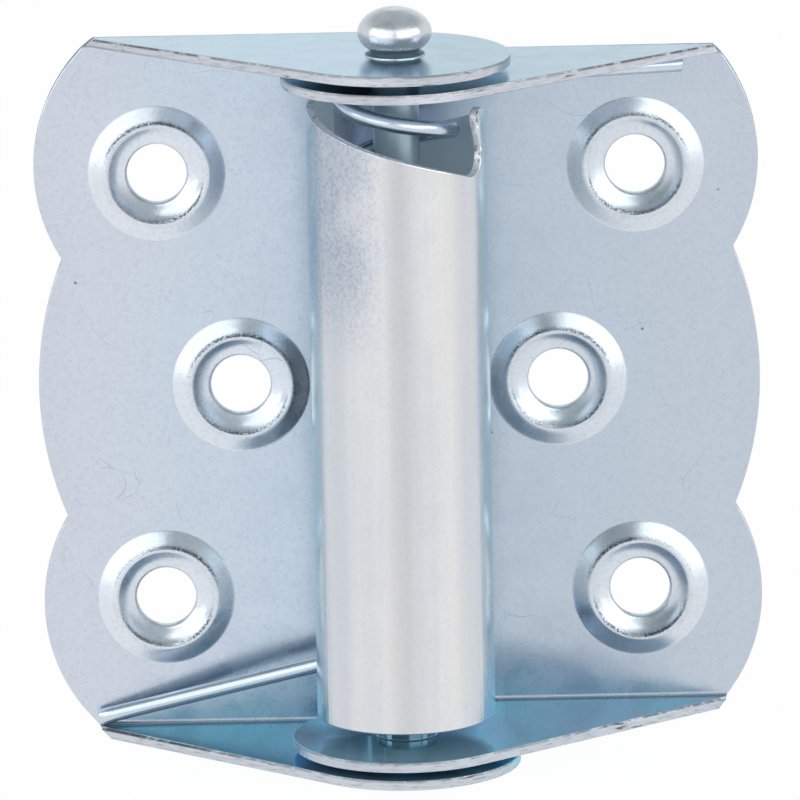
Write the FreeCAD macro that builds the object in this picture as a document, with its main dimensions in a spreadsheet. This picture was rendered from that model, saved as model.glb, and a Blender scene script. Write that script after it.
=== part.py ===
import FreeCAD, Part
import math
import os

import Sketcher

# A surface-mounted self-closing hinge, in millimetres.
# Origin: centre of the screw pattern on the mounting plane, at the back of the leaves.
# +X towards the door leaf, +Y into the wall, +Z up along the pin.

SIZES = {
    # the two leaves
    "frame_height": 69.7,     # over the frame leaf's ears
    "leaf_reach": 35.0,       # from the pin's plane to the lobes' crests
    "leaf_gap": 2.0,          # between the two plates' inner edges
    "sheet_gauge": 1.0,
    "bend_inside": 1.0,       # inside radius of the bend between plate and ear
    "ear_radius": 11.0,       # rounded end of each ear, about the pin
    "ear_gap": 0.75,          # between a frame ear and the door ear nested in it
    "end_lobe_radius": 17.0,
    "end_lobe_inset": 13.15,  # of the end lobe's centre from the frame leaf's end
    "mid_lobe_radius": 34.0,
    # the dished screw holes
    "end_hole_reach": 23.1,
    "end_hole_inset": 13.75,  # from the frame leaf's end
    "mid_hole_reach": 15.4,
    "hole_radius": 2.9,
    "dish_radius": 6.75,      # foot of the pressed ring, on the plate's face
    "crest_radius": 4.675,
    "crest_rise": 0.95,       # of the ring above the plate
    "crest_flat": 0.95,       # width of the ring's level top
    "rim_depth": 1.12,        # straight wall of the screw hole
    "groove_radius": 6.3,     # foot of the groove behind the ring
    "groove_depth": 0.8,
    "lip_radius": 3.25,       # inner edge of that groove, round the screw hole
    # the collars drawn up round the pin, inside the door leaf's ears
    "collar_radius": 2.9,
    "collar_height": 0.9,
    # the pin
    "pin_radius": 2.2,
    "pin_play": 0.08,         # radial clearance in the ears' holes
    "head_radius": 3.55,
    "head_rise": 1.98,        # of the head's crown above its widest place
    "head_rim": 1.0,          # rounding above the head's widest place
    "head_base": 1.6,         # from the shoulder up to the widest place
    "head_seat": 2.6,         # where the head's underside meets its shoulder
    "shoulder_radius": 2.9,
    "shoulder_height": 0.9,
    "tail_radius": 3.2,       # of the peened tail, against the lowest ear
    "tail_face": 2.3,         # of its hammered end
    "tail_height": 1.3,
    "tail_play": 0.2,         # end play above the peened tail
    # the spring
    "wire_radius": 0.775,
    "coil_radius": 5.3,       # to the middle of the wire
    "coil_turns": 6.0,        # whole turns, less what the two legs cut off
    "lead_drop": 2.05,        # fall of the top turn from its leg round to the front
    "lead_fall": 1.0,         # fall for each radian there
    "door_leg_reach": 27.7,
    "door_leg_room": 0.2,     # between the upper leg and the door ear above it
    "frame_leg_reach": 29.8,
    "frame_leg_room": 0.2,    # between the lower leg's tip and the frame ear below it
    "frame_leg_fall": 8.6,    # of the lower leg from the coil to its tip
    # the sleeve, rolled from a flat blank
    "sleeve_radius": 8.6,
    "sleeve_gauge": 0.8,
    "sleeve_lift": 2.1,       # of the sleeve's foot above the door leaf's lower ear
    "crown_room": 0.15,       # between the crown and the upper leg that swings over it
    "seam_room": 0.15,        # beside the lower leg where it leaves through the seam
    "crown_flat": 5.9,        # level stretch of the crown beside the seam
    "hook_place": 26.9,       # from the blank's seam edge to the middle of the hook's throat
    "hook_depth": 6.3,
    "hook_radius": 1.9,       # of the hook's throat
    "nose_radius": 0.95,
    "nose_lead": 1.68,        # of the nose's centre past the throat's
}

doc = FreeCAD.newDocument("self_closing_hinge")
sheet = doc.addObject("Spreadsheet::Sheet", "Sizes")
for row, (alias, number) in enumerate(SIZES.items(), start=1):
    sheet.set(f"A{row}", alias)
    sheet.set(f"B{row}", str(number))
    sheet.setAlias(f"B{row}", alias)
doc.recompute()

# Places that follow from the sizes, as expressions on the sheet.
PIN_OFFSET = "(Sizes.ear_radius + Sizes.sheet_gauge + Sizes.bend_inside)"
BEND_OUTSIDE = "(Sizes.bend_inside + Sizes.sheet_gauge)"
FRAME_HALF = "(Sizes.frame_height / 2)"
END_LOBE = f"({FRAME_HALF} - Sizes.end_lobe_inset)"
END_HOLE = f"({FRAME_HALF} - Sizes.end_hole_inset)"
DOOR_HALF = "(Sizes.frame_height / 2 - Sizes.sheet_gauge - Sizes.ear_gap)"
DOOR_EAR = f"({DOOR_HALF} - Sizes.sheet_gauge)"
FRAME_EAR = f"({FRAME_HALF} - Sizes.sheet_gauge)"
EAR_HOLE = "(Sizes.pin_radius + Sizes.pin_play)"
TAIL_TOP = f"({FRAME_HALF} + Sizes.tail_play)"
HEAD_MIDDLE = f"({FRAME_HALF} + Sizes.shoulder_height + Sizes.head_base)"
UPPER_LEG = f"({DOOR_EAR} - Sizes.door_leg_room - Sizes.wire_radius)"
LOWER_TIP = f"({FRAME_EAR} - Sizes.frame_leg_room - Sizes.wire_radius)"
LEG_SEAT = "(Sizes.sheet_gauge + Sizes.wire_radius)"
CROWN_TOP = f"({UPPER_LEG} - Sizes.wire_radius - Sizes.crown_room)"
SLEEVE_FOOT = f"({DOOR_EAR} - Sizes.sleeve_lift)"
SLEEVE_MIDDLE = "(Sizes.sleeve_radius - Sizes.sleeve_gauge / 2)"
BLANK_WIDTH = f"(2 * pi * {SLEEVE_MIDDLE})"


def leg_lean(reach):
    """Angle, seen along the pin, between a leaf's plane and a leg that leaves the coil tangentially."""
    rise = f"({PIN_OFFSET} - {LEG_SEAT})"
    return f"(atan2({rise}, {reach}) - asin(Sizes.coil_radius / sqrt({rise} ^ 2 + {reach} ^ 2)))"


DOOR_LEAN = leg_lean("Sizes.door_leg_reach")
FRAME_LEAN = leg_lean("Sizes.frame_leg_reach")
# The seam leaves room on both sides of the lower leg, where it crosses the sleeve's wall.
SLEEVE_BORE = "(Sizes.sleeve_radius - Sizes.sleeve_gauge)"
SEAM_NEAR = f"acos((Sizes.coil_radius + Sizes.wire_radius + Sizes.seam_room) / {SLEEVE_BORE})"
SEAM_FAR = "acos((Sizes.coil_radius - Sizes.wire_radius - Sizes.seam_room) / Sizes.sleeve_radius)"
SEAM_WIDTH = f"(({SEAM_FAR} - {SEAM_NEAR}) / 1 rad * {SLEEVE_MIDDLE})"
SEAM_ANGLE = f"(90 deg - {FRAME_LEAN} + ({SEAM_NEAR} + {SEAM_FAR}) / 2)"
MARGIN = 2.0  # how far a cutting outline runs past the metal
WIRE_FLATS = 6  # sides that stand for the round of the spring's wire


def value(expression):
    """The number that an expression on the sheet gives."""
    return float(sheet.evalExpression(expression))


def plane(body, role):
    return next(item for item in body.Origin.OriginFeatures if item.Role == role)


def new_body(name):
    body = doc.addObject("PartDesign::Body", name)
    body.Label = name
    return body


def new_sketch(body, name, role, offset=()):
    """A sketch on one of the body's planes, moved along its own axes by sheet expressions."""
    sketch = body.newObject("Sketcher::SketchObject", name)
    sketch.AttachmentSupport = [(plane(body, role), "")]
    sketch.MapMode = "FlatFace"
    for axis, expression in offset:
        sketch.setExpression(f"AttachmentOffset.Base.{axis}", expression)
    return sketch


ORIGIN = (-1, 1)
H_AXIS = -1
V_AXIS = -2
START, END, CENTRE = 1, 2, 3


def line(sketch, start, end):
    return sketch.addGeometry(Part.LineSegment(FreeCAD.Vector(*start, 0), FreeCAD.Vector(*end, 0)))


def arc(sketch, centre, radius, first_degrees, last_degrees):
    circle = Part.Circle(FreeCAD.Vector(*centre, 0), FreeCAD.Vector(0, 0, 1), radius)
    bow = Part.ArcOfCircle(circle, math.radians(first_degrees), math.radians(last_degrees))
    return sketch.addGeometry(bow)


def relate(sketch, kind, *references):
    sketch.addConstraint(Sketcher.Constraint(kind, *references))


def dimension(sketch, kind, references, expression):
    """A driving dimension bound to the sheet."""
    index = sketch.addConstraint(Sketcher.Constraint(kind, *references, value(expression)))
    sketch.setExpression(f"Constraints[{index}]", expression)


def chain(sketch, lines, close=True):
    """Joins each line's end to the next line's start."""
    pairs = list(zip(lines, lines[1:]))
    if close:
        pairs.append((lines[-1], lines[0]))
    for first, second in pairs:
        relate(sketch, "Coincident", first, END, second, START)


def cut_through(body, sketch, name):
    """Cuts the sketch's region out of the whole body, on both sides of its plane."""
    before = body.Shape.Volume
    pocket = body.newObject("PartDesign::Pocket", name)
    pocket.Profile = sketch
    pocket.Type = "ThroughAll"
    pocket.SideType = "Symmetric"
    body.Tip = pocket
    doc.recompute()
    if not body.Shape.Volume < before:
        raise RuntimeError(f"{name} removes nothing")


def add_folded_strip(body, half):
    """The plate with an ear folded forward at each end, at full width: half a section, mirrored."""
    sketch = new_sketch(body, "section", "YZ_Plane", [("z", "-Sizes.ear_radius")])
    top = value(half)
    outside = value(BEND_OUTSIDE)
    inside = value("Sizes.bend_inside")
    gauge = value("Sizes.sheet_gauge")
    front = -value(f"{PIN_OFFSET} + Sizes.ear_radius")
    fold = top - outside
    back = line(sketch, (0, 0), (0, fold))
    outer_bend = arc(sketch, (-outside, fold), outside, 0, 90)
    ear_top = line(sketch, (-outside, top), (front, top))
    ear_edge = line(sketch, (front, top), (front, top - gauge))
    ear_under = line(sketch, (front, top - gauge), (-outside, top - gauge))
    inner_bend = arc(sketch, (-outside, fold), inside, 0, 90)
    face = line(sketch, (-gauge, fold), (-gauge, 0))
    middle = line(sketch, (-gauge, 0), (0, 0))
    for upright in (back, ear_edge, face):
        relate(sketch, "Vertical", upright)
    for level in (ear_top, ear_under, middle):
        relate(sketch, "Horizontal", level)
    chain(sketch, [ear_top, ear_edge, ear_under], close=False)
    chain(sketch, [face, middle, back], close=False)
    relate(sketch, "Coincident", back, START, *ORIGIN)
    relate(sketch, "Tangent", back, END, outer_bend, START)
    relate(sketch, "Tangent", outer_bend, END, ear_top, START)
    relate(sketch, "Tangent", ear_under, END, inner_bend, END)
    relate(sketch, "Tangent", inner_bend, START, face, START)
    relate(sketch, "Coincident", inner_bend, CENTRE, outer_bend, CENTRE)
    dimension(sketch, "Radius", (inner_bend,), "Sizes.bend_inside")
    dimension(sketch, "DistanceX", (middle, START, middle, END), "Sizes.sheet_gauge")
    dimension(sketch, "DistanceY", (*ORIGIN, ear_top, START), half)
    dimension(sketch, "DistanceX", (ear_top, END, *ORIGIN), f"{PIN_OFFSET} + Sizes.ear_radius")
    pad = body.newObject("PartDesign::Pad", "strip")
    pad.Profile = sketch
    pad.setExpression("Length", "Sizes.leaf_reach + Sizes.ear_radius")
    doc.recompute()
    mirrored = body.newObject("PartDesign::Mirrored", "both_ears")
    mirrored.Originals = [pad]
    mirrored.MirrorPlane = (plane(body, "XY_Plane"), [""])
    body.Tip = mirrored
    doc.recompute()


def cut_lobes(body, half):
    """The scalloped outer edge: a middle lobe between two end lobes."""
    sketch = new_sketch(body, "lobes", "XZ_Plane")
    reach = value("Sizes.leaf_reach")
    end_radius = value("Sizes.end_lobe_radius")
    end_height = value(END_LOBE)
    mid_radius = value("Sizes.mid_lobe_radius")
    limit = value(half) + MARGIN
    outside = reach + MARGIN
    lean = math.degrees(math.acos((limit - end_height) / end_radius))
    notch = end_height / 2
    sweep = math.degrees(math.asin(notch / mid_radius))
    dip = math.degrees(math.asin((end_height - notch) / end_radius))
    end_x = reach - end_radius
    corner_x = end_x + end_radius * math.sin(math.radians(lean))
    upper = arc(sketch, (end_x, end_height), end_radius, -dip, 90 - lean)
    middle = arc(sketch, (reach - mid_radius, 0), mid_radius, -sweep, sweep)
    lower = arc(sketch, (end_x, -end_height), end_radius, lean - 90, dip)
    roof = line(sketch, (corner_x, limit), (outside, limit))
    side = line(sketch, (outside, limit), (outside, -limit))
    floor = line(sketch, (outside, -limit), (corner_x, -limit))
    chain(sketch, [roof, side, floor], close=False)
    relate(sketch, "Coincident", floor, END, lower, START)
    relate(sketch, "Coincident", lower, END, middle, START)
    relate(sketch, "Coincident", middle, END, upper, START)
    relate(sketch, "Coincident", upper, END, roof, START)
    relate(sketch, "Horizontal", roof)
    relate(sketch, "Horizontal", floor)
    relate(sketch, "Vertical", side)
    relate(sketch, "PointOnObject", middle, CENTRE, H_AXIS)
    relate(sketch, "Symmetric", upper, CENTRE, lower, CENTRE, H_AXIS)
    relate(sketch, "Equal", upper, lower)
    dimension(sketch, "Radius", (upper,), "Sizes.end_lobe_radius")
    dimension(sketch, "Radius", (middle,), "Sizes.mid_lobe_radius")
    dimension(sketch, "DistanceX", (*ORIGIN, upper, CENTRE), "Sizes.leaf_reach - Sizes.end_lobe_radius")
    dimension(sketch, "DistanceX", (*ORIGIN, middle, CENTRE), "Sizes.leaf_reach - Sizes.mid_lobe_radius")
    dimension(sketch, "DistanceY", (*ORIGIN, upper, CENTRE), END_LOBE)
    dimension(sketch, "DistanceX", (*ORIGIN, side, START), f"Sizes.leaf_reach + {MARGIN}")
    dimension(sketch, "DistanceY", (*ORIGIN, side, START), f"{half} + {MARGIN}")
    dimension(sketch, "DistanceY", (side, END, *ORIGIN), f"{half} + {MARGIN}")
    cut_through(body, sketch, "scallops")


def cut_ears(body, half):
    """The ears' outline: round about the pin, straight to the plate's outer corner."""
    corner = (
        "(Sizes.leaf_reach - Sizes.end_lobe_radius + sqrt(Sizes.end_lobe_radius ^ 2"
        f" - ({half} - Sizes.sheet_gauge - {END_LOBE}) ^ 2))"
    )
    sketch = new_sketch(body, "ear_outline", "XY_Plane")
    pin = value(PIN_OFFSET)
    radius = value("Sizes.ear_radius")
    fold = value(BEND_OUTSIDE)
    inner = value("Sizes.leaf_gap / 2")
    corner_x = value(corner)
    lean = math.degrees(2 * math.atan2(pin - fold, corner_x))
    touch = (radius * math.sin(math.radians(lean)), -pin - radius * math.cos(math.radians(lean)))
    near = -radius - MARGIN
    far = value("Sizes.leaf_reach") + MARGIN
    front = -pin - radius - MARGIN
    straight = line(sketch, touch, (corner_x, -fold))
    ledge = line(sketch, (corner_x, -fold), (far, -fold))
    far_side = line(sketch, (far, -fold), (far, front))
    front_side = line(sketch, (far, front), (near, front))
    near_side = line(sketch, (near, front), (near, MARGIN))
    back_side = line(sketch, (near, MARGIN), (inner, MARGIN))
    plate_edge = line(sketch, (inner, MARGIN), (inner, -fold))
    ear_back = line(sketch, (inner, -fold), (0, -fold))
    nose = arc(sketch, (0, -pin), radius, 90, 270 + lean)
    run = [straight, ledge, far_side, front_side, near_side, back_side, plate_edge, ear_back]
    chain(sketch, run, close=False)
    relate(sketch, "Tangent", ear_back, END, nose, START)
    relate(sketch, "Tangent", nose, END, straight, START)
    for level in (ledge, front_side, back_side, ear_back):
        relate(sketch, "Horizontal", level)
    for upright in (far_side, near_side, plate_edge):
        relate(sketch, "Vertical", upright)
    relate(sketch, "PointOnObject", nose, CENTRE, V_AXIS)
    dimension(sketch, "Radius", (nose,), "Sizes.ear_radius")
    dimension(sketch, "DistanceY", (nose, CENTRE, *ORIGIN), PIN_OFFSET)
    dimension(sketch, "DistanceX", (*ORIGIN, straight, END), corner)
    dimension(sketch, "DistanceY", (straight, END, *ORIGIN), BEND_OUTSIDE)
    dimension(sketch, "DistanceX", (*ORIGIN, plate_edge, START), "Sizes.leaf_gap / 2")
    dimension(sketch, "DistanceX", (*ORIGIN, far_side, START), f"Sizes.leaf_reach + {MARGIN}")
    dimension(sketch, "DistanceX", (near_side, START, *ORIGIN), f"Sizes.ear_radius + {MARGIN}")
    dimension(sketch, "DistanceY", (*ORIGIN, back_side, START), str(MARGIN))
    dimension(sketch, "DistanceY", (front_side, START, nose, CENTRE), f"Sizes.ear_radius + {MARGIN}")
    cut_through(body, sketch, "ear_ends")


def cut_round(body, name, role, radius, centre):
    """A round hole through the body, its centre given as (axis, expression) pairs."""
    sketch = new_sketch(body, f"{name}_outline", role, centre)
    circle = sketch.addGeometry(Part.Circle(FreeCAD.Vector(0, 0, 0), FreeCAD.Vector(0, 0, 1), value(radius)))
    relate(sketch, "Coincident", circle, CENTRE, *ORIGIN)
    dimension(sketch, "Radius", (circle,), radius)
    cut_through(body, sketch, name)


def add_dish(body, name, reach, height):
    """A screw hole in a pressed ring: raised to a narrow crest, then coned down to the hole."""
    cut_round(body, f"{name}_blank", "XZ_Plane", "Sizes.dish_radius", [("x", reach), ("y", height)])
    sketch = new_sketch(body, f"{name}_section", "XY_Plane", [("x", reach), ("z", height)])
    foot = value("Sizes.dish_radius")
    hole = value("Sizes.hole_radius")
    crest = value("Sizes.crest_radius")
    flat = value("Sizes.crest_flat / 2")
    rise = value("Sizes.crest_rise")
    gauge = value("Sizes.sheet_gauge")
    rim = value("Sizes.rim_depth")
    groove = value("Sizes.groove_radius")
    depth = value("Sizes.groove_depth")
    lip = value("Sizes.lip_radius")
    peak = -gauge - rise
    edge = line(sketch, (foot, 0), (foot, -gauge))
    climb = line(sketch, (foot, -gauge), (crest + flat, peak))
    top = line(sketch, (crest + flat, peak), (crest - flat, peak))
    cone = line(sketch, (crest - flat, peak), (hole, -rim))
    wall = line(sketch, (hole, -rim), (hole, 0))
    inner_back = line(sketch, (hole, 0), (lip, 0))
    back_cone = line(sketch, (lip, 0), (crest, -depth))
    back_climb = line(sketch, (crest, -depth), (groove, 0))
    outer_back = line(sketch, (groove, 0), (foot, 0))
    chain(sketch, [edge, climb, top, cone, wall, inner_back, back_cone, back_climb, outer_back])
    for upright in (edge, wall):
        relate(sketch, "Vertical", upright)
    for level in (top, inner_back, outer_back):
        relate(sketch, "Horizontal", level)
    relate(sketch, "PointOnObject", inner_back, START, H_AXIS)
    relate(sketch, "PointOnObject", edge, START, H_AXIS)
    dimension(sketch, "DistanceX", (*ORIGIN, edge, START), "Sizes.dish_radius")
    dimension(sketch, "DistanceY", (edge, END, edge, START), "Sizes.sheet_gauge")
    dimension(sketch, "DistanceX", (top, END, top, START), "Sizes.crest_flat")
    dimension(sketch, "DistanceX", (*ORIGIN, top, END), "Sizes.crest_radius - Sizes.crest_flat / 2")
    dimension(sketch, "DistanceY", (top, END, *ORIGIN), "Sizes.sheet_gauge + Sizes.crest_rise")
    dimension(sketch, "DistanceX", (*ORIGIN, wall, START), "Sizes.hole_radius")
    dimension(sketch, "DistanceY", (wall, START, wall, END), "Sizes.rim_depth")
    dimension(sketch, "DistanceX", (*ORIGIN, inner_back, END), "Sizes.lip_radius")
    dimension(sketch, "DistanceX", (*ORIGIN, back_climb, START), "Sizes.crest_radius")
    dimension(sketch, "DistanceY", (back_climb, START, *ORIGIN), "Sizes.groove_depth")
    dimension(sketch, "DistanceX", (*ORIGIN, outer_back, START), "Sizes.groove_radius")
    ring = body.newObject("PartDesign::Revolution", name)
    ring.Profile = sketch
    ring.ReferenceAxis = (sketch, ["V_Axis"])
    ring.Angle = 360
    body.Tip = ring
    doc.recompute()


def make_leaf(name, half):
    """A leaf on the +X side, with ears reaching half above and below the middle."""
    body = new_body(name)
    add_folded_strip(body, half)
    cut_lobes(body, half)
    cut_ears(body, half)
    cut_round(body, "pin_hole", "XY_Plane", EAR_HOLE, [("y", f"-{PIN_OFFSET}")])
    add_dish(body, "top_dish", "Sizes.end_hole_reach", END_HOLE)
    add_dish(body, "middle_dish", "Sizes.mid_hole_reach", "0")
    add_dish(body, "bottom_dish", "Sizes.end_hole_reach", f"-{END_HOLE}")
    return body


def add_collars(body):
    """Short collars round the pin's holes, on the inner faces of the door leaf's ears."""
    sketch = new_sketch(body, "collar_outline", "XY_Plane", [("y", f"-{PIN_OFFSET}"), ("z", DOOR_EAR)])
    for radius in (EAR_HOLE, "Sizes.collar_radius"):
        circle = Part.Circle(FreeCAD.Vector(0, 0, 0), FreeCAD.Vector(0, 0, 1), value(radius))
        drawn = sketch.addGeometry(circle)
        relate(sketch, "Coincident", drawn, CENTRE, *ORIGIN)
        dimension(sketch, "Radius", (drawn,), radius)
    collar = body.newObject("PartDesign::Pad", "upper_collar")
    collar.Profile = sketch
    collar.Reversed = True
    collar.setExpression("Length", "Sizes.collar_height")
    doc.recompute()
    both = body.newObject("PartDesign::Mirrored", "both_collars")
    both.Originals = [collar]
    both.MirrorPlane = (plane(body, "XY_Plane"), [""])
    body.Tip = both
    doc.recompute()


def make_pin():
    """The pin: an oval head on a shoulder, the shank, and a peened tail."""
    body = new_body("hinge_pin")
    sketch = new_sketch(body, "half_section", "XZ_Plane")
    seat = value(FRAME_HALF)
    neck = value(f"{FRAME_HALF} + Sizes.shoulder_height")
    tail = -value(TAIL_TOP)
    shank_x = value("Sizes.pin_radius")
    seat_x = value("Sizes.head_seat")
    shoulder_x = value("Sizes.shoulder_radius")
    tail_x = value("Sizes.tail_radius")
    face_x = value("Sizes.tail_face")
    depth = value("Sizes.tail_height")
    half = value("Sizes.head_rise")
    rim = value("Sizes.head_rim")
    rim_x = value("Sizes.head_radius") - rim
    middle = value(HEAD_MIDDLE)
    bow = (rim_x ** 2 + half ** 2 - rim ** 2) / (2 * (half - rim))
    lean = math.degrees(math.asin(rim_x / (bow - rim)))
    axis = line(sketch, (0, tail - depth), (0, middle + half))
    crown = arc(sketch, (0, middle + half - bow), bow, 90 - lean, 90)
    brim = arc(sketch, (rim_x, middle), rim, 0, 90 - lean)
    under = line(sketch, (rim_x + rim, middle), (seat_x, neck))
    neck_top = line(sketch, (seat_x, neck), (shoulder_x, neck))
    neck_side = line(sketch, (shoulder_x, neck), (shoulder_x, seat))
    neck_seat = line(sketch, (shoulder_x, seat), (shank_x, seat))
    shank = line(sketch, (shank_x, seat), (shank_x, tail))
    tail_seat = line(sketch, (shank_x, tail), (tail_x, tail))
    tail_side = line(sketch, (tail_x, tail), (face_x, tail - depth))
    tail_end = line(sketch, (face_x, tail - depth), (0, tail - depth))
    relate(sketch, "Coincident", axis, END, crown, END)
    relate(sketch, "Tangent", crown, START, brim, END)
    relate(sketch, "Horizontal", brim, CENTRE, brim, START)
    relate(sketch, "Coincident", brim, START, under, START)
    outline = [under, neck_top, neck_side, neck_seat, shank, tail_seat, tail_side, tail_end, axis]
    chain(sketch, outline, close=False)
    for level in (neck_top, neck_seat, tail_seat, tail_end):
        relate(sketch, "Horizontal", level)
    for upright in (neck_side, shank):
        relate(sketch, "Vertical", upright)
    for end in (START, END):
        relate(sketch, "PointOnObject", axis, end, V_AXIS)
    relate(sketch, "PointOnObject", crown, CENTRE, V_AXIS)
    dimension(sketch, "Radius", (brim,), "Sizes.head_rim")
    dimension(sketch, "DistanceX", (*ORIGIN, brim, CENTRE), "Sizes.head_radius - Sizes.head_rim")
    dimension(sketch, "DistanceY", (*ORIGIN, brim, CENTRE), HEAD_MIDDLE)
    dimension(sketch, "DistanceY", (*ORIGIN, axis, END), f"{HEAD_MIDDLE} + Sizes.head_rise")
    dimension(sketch, "DistanceX", (*ORIGIN, neck_top, START), "Sizes.head_seat")
    dimension(sketch, "DistanceX", (*ORIGIN, shank, START), "Sizes.pin_radius")
    dimension(sketch, "DistanceX", (*ORIGIN, neck_side, START), "Sizes.shoulder_radius")
    dimension(sketch, "DistanceX", (*ORIGIN, tail_seat, END), "Sizes.tail_radius")
    dimension(sketch, "DistanceX", (*ORIGIN, tail_side, END), "Sizes.tail_face")
    dimension(sketch, "DistanceY", (*ORIGIN, neck_seat, START), FRAME_HALF)
    dimension(sketch, "DistanceY", (neck_side, END, neck_side, START), "Sizes.shoulder_height")
    dimension(sketch, "DistanceY", (tail_seat, END, *ORIGIN), TAIL_TOP)
    dimension(sketch, "DistanceY", (axis, START, tail_seat, END), "Sizes.tail_height")
    turned = body.newObject("PartDesign::Revolution", "turned")
    turned.Profile = sketch
    turned.ReferenceAxis = (sketch, ["V_Axis"])
    turned.Angle = 360
    body.Tip = turned
    doc.recompute()
    return body


def on_tube(curve, radius):
    """An edge on a tube about the Z axis, from a curve in (angle, height)."""
    tube = Part.Cylinder()
    tube.Radius = radius
    return curve.toShape(tube)


def coil_edge(first, last, top, foot, first_fall, last_fall):
    """A stretch of coil whose height falls smoothly, with the given falls per radian at its ends."""
    third = (last - first) / 3
    curve = Part.Geom2d.BezierCurve2d()
    curve.setPoles([
        FreeCAD.Base.Vector2d(first, top),
        FreeCAD.Base.Vector2d(first + third, top - first_fall * third),
        FreeCAD.Base.Vector2d(last - third, foot + last_fall * third),
        FreeCAD.Base.Vector2d(last, foot),
    ])
    return on_tube(curve, value("Sizes.coil_radius"))


def spring_path():
    """The wire's centre line about the pin: level door leg, opened top turn, coil, falling frame leg."""
    coil = value("Sizes.coil_radius")
    seat = value(f"{PIN_OFFSET} - {LEG_SEAT}")
    door_reach = value("Sizes.door_leg_reach")
    frame_reach = value("Sizes.frame_leg_reach")
    top = value(UPPER_LEG)
    tip = -value(LOWER_TIP)
    foot = tip + value("Sizes.frame_leg_fall")
    front_height = top - value("Sizes.lead_drop")
    first = math.pi / 2 + value(f"{DOOR_LEAN} / 1 rad")
    front = 3 * math.pi / 2
    last = math.pi / 2 - value(f"{FRAME_LEAN} / 1 rad") + 2 * math.pi * value("Sizes.coil_turns")
    foot_fall = coil * (foot - tip) / math.sqrt(frame_reach ** 2 + seat ** 2 - coil ** 2)
    lead_fall = value("Sizes.lead_fall")
    lead_turn = 2 * math.pi
    exit_turn = math.pi
    eased = lead_fall * lead_turn / 2 + foot_fall * exit_turn / 2
    steady = (front_height - foot - eased) / (last - front - lead_turn / 2 - exit_turn / 2)
    lead_height = front_height - (lead_fall + steady) * lead_turn / 2
    exit_height = foot + (steady + foot_fall) * exit_turn / 2
    upper_turn = coil_edge(first, front, top, front_height, 0, lead_fall)
    second_turn = coil_edge(front, front + lead_turn, front_height, lead_height, lead_fall, steady)
    body_turns = coil_edge(front + lead_turn, last - exit_turn, lead_height, exit_height, steady, steady)
    lower_turn = coil_edge(last - exit_turn, last, exit_height, foot, steady, foot_fall)
    door_tip = FreeCAD.Vector(door_reach, seat, top)
    frame_tip = FreeCAD.Vector(-frame_reach, seat, tip)
    door_leg = Part.makeLine(door_tip, upper_turn.valueAt(upper_turn.FirstParameter))
    frame_leg = Part.makeLine(lower_turn.valueAt(lower_turn.LastParameter), frame_tip)
    return Part.Wire([door_leg, upper_turn, second_turn, body_turns, lower_turn, frame_leg])


def make_spring():
    """The torsion spring, its round wire drawn with a few flats."""
    path = doc.addObject("Part::Feature", "spring_path")
    path.Shape = spring_path()
    leg = path.Shape.Edges[0]
    section = doc.addObject("Part::RegularPolygon", "spring_section")
    section.Polygon = WIRE_FLATS
    section.setExpression("Circumradius", "Sizes.wire_radius")
    along = FreeCAD.Rotation(FreeCAD.Vector(0, 0, 1), leg.tangentAt(leg.FirstParameter))
    section.Placement = FreeCAD.Placement(leg.valueAt(leg.FirstParameter), along)
    spring = doc.addObject("Part::Sweep", "torsion_spring")
    spring.Label = "torsion_spring"
    spring.Sections = [section]
    spring.Spine = (path, [f"Edge{number}" for number in range(1, len(path.Shape.Edges) + 1)])
    spring.Solid = True
    spring.Frenet = False
    spring.Transition = "Transformed"
    doc.recompute()
    return spring


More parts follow.
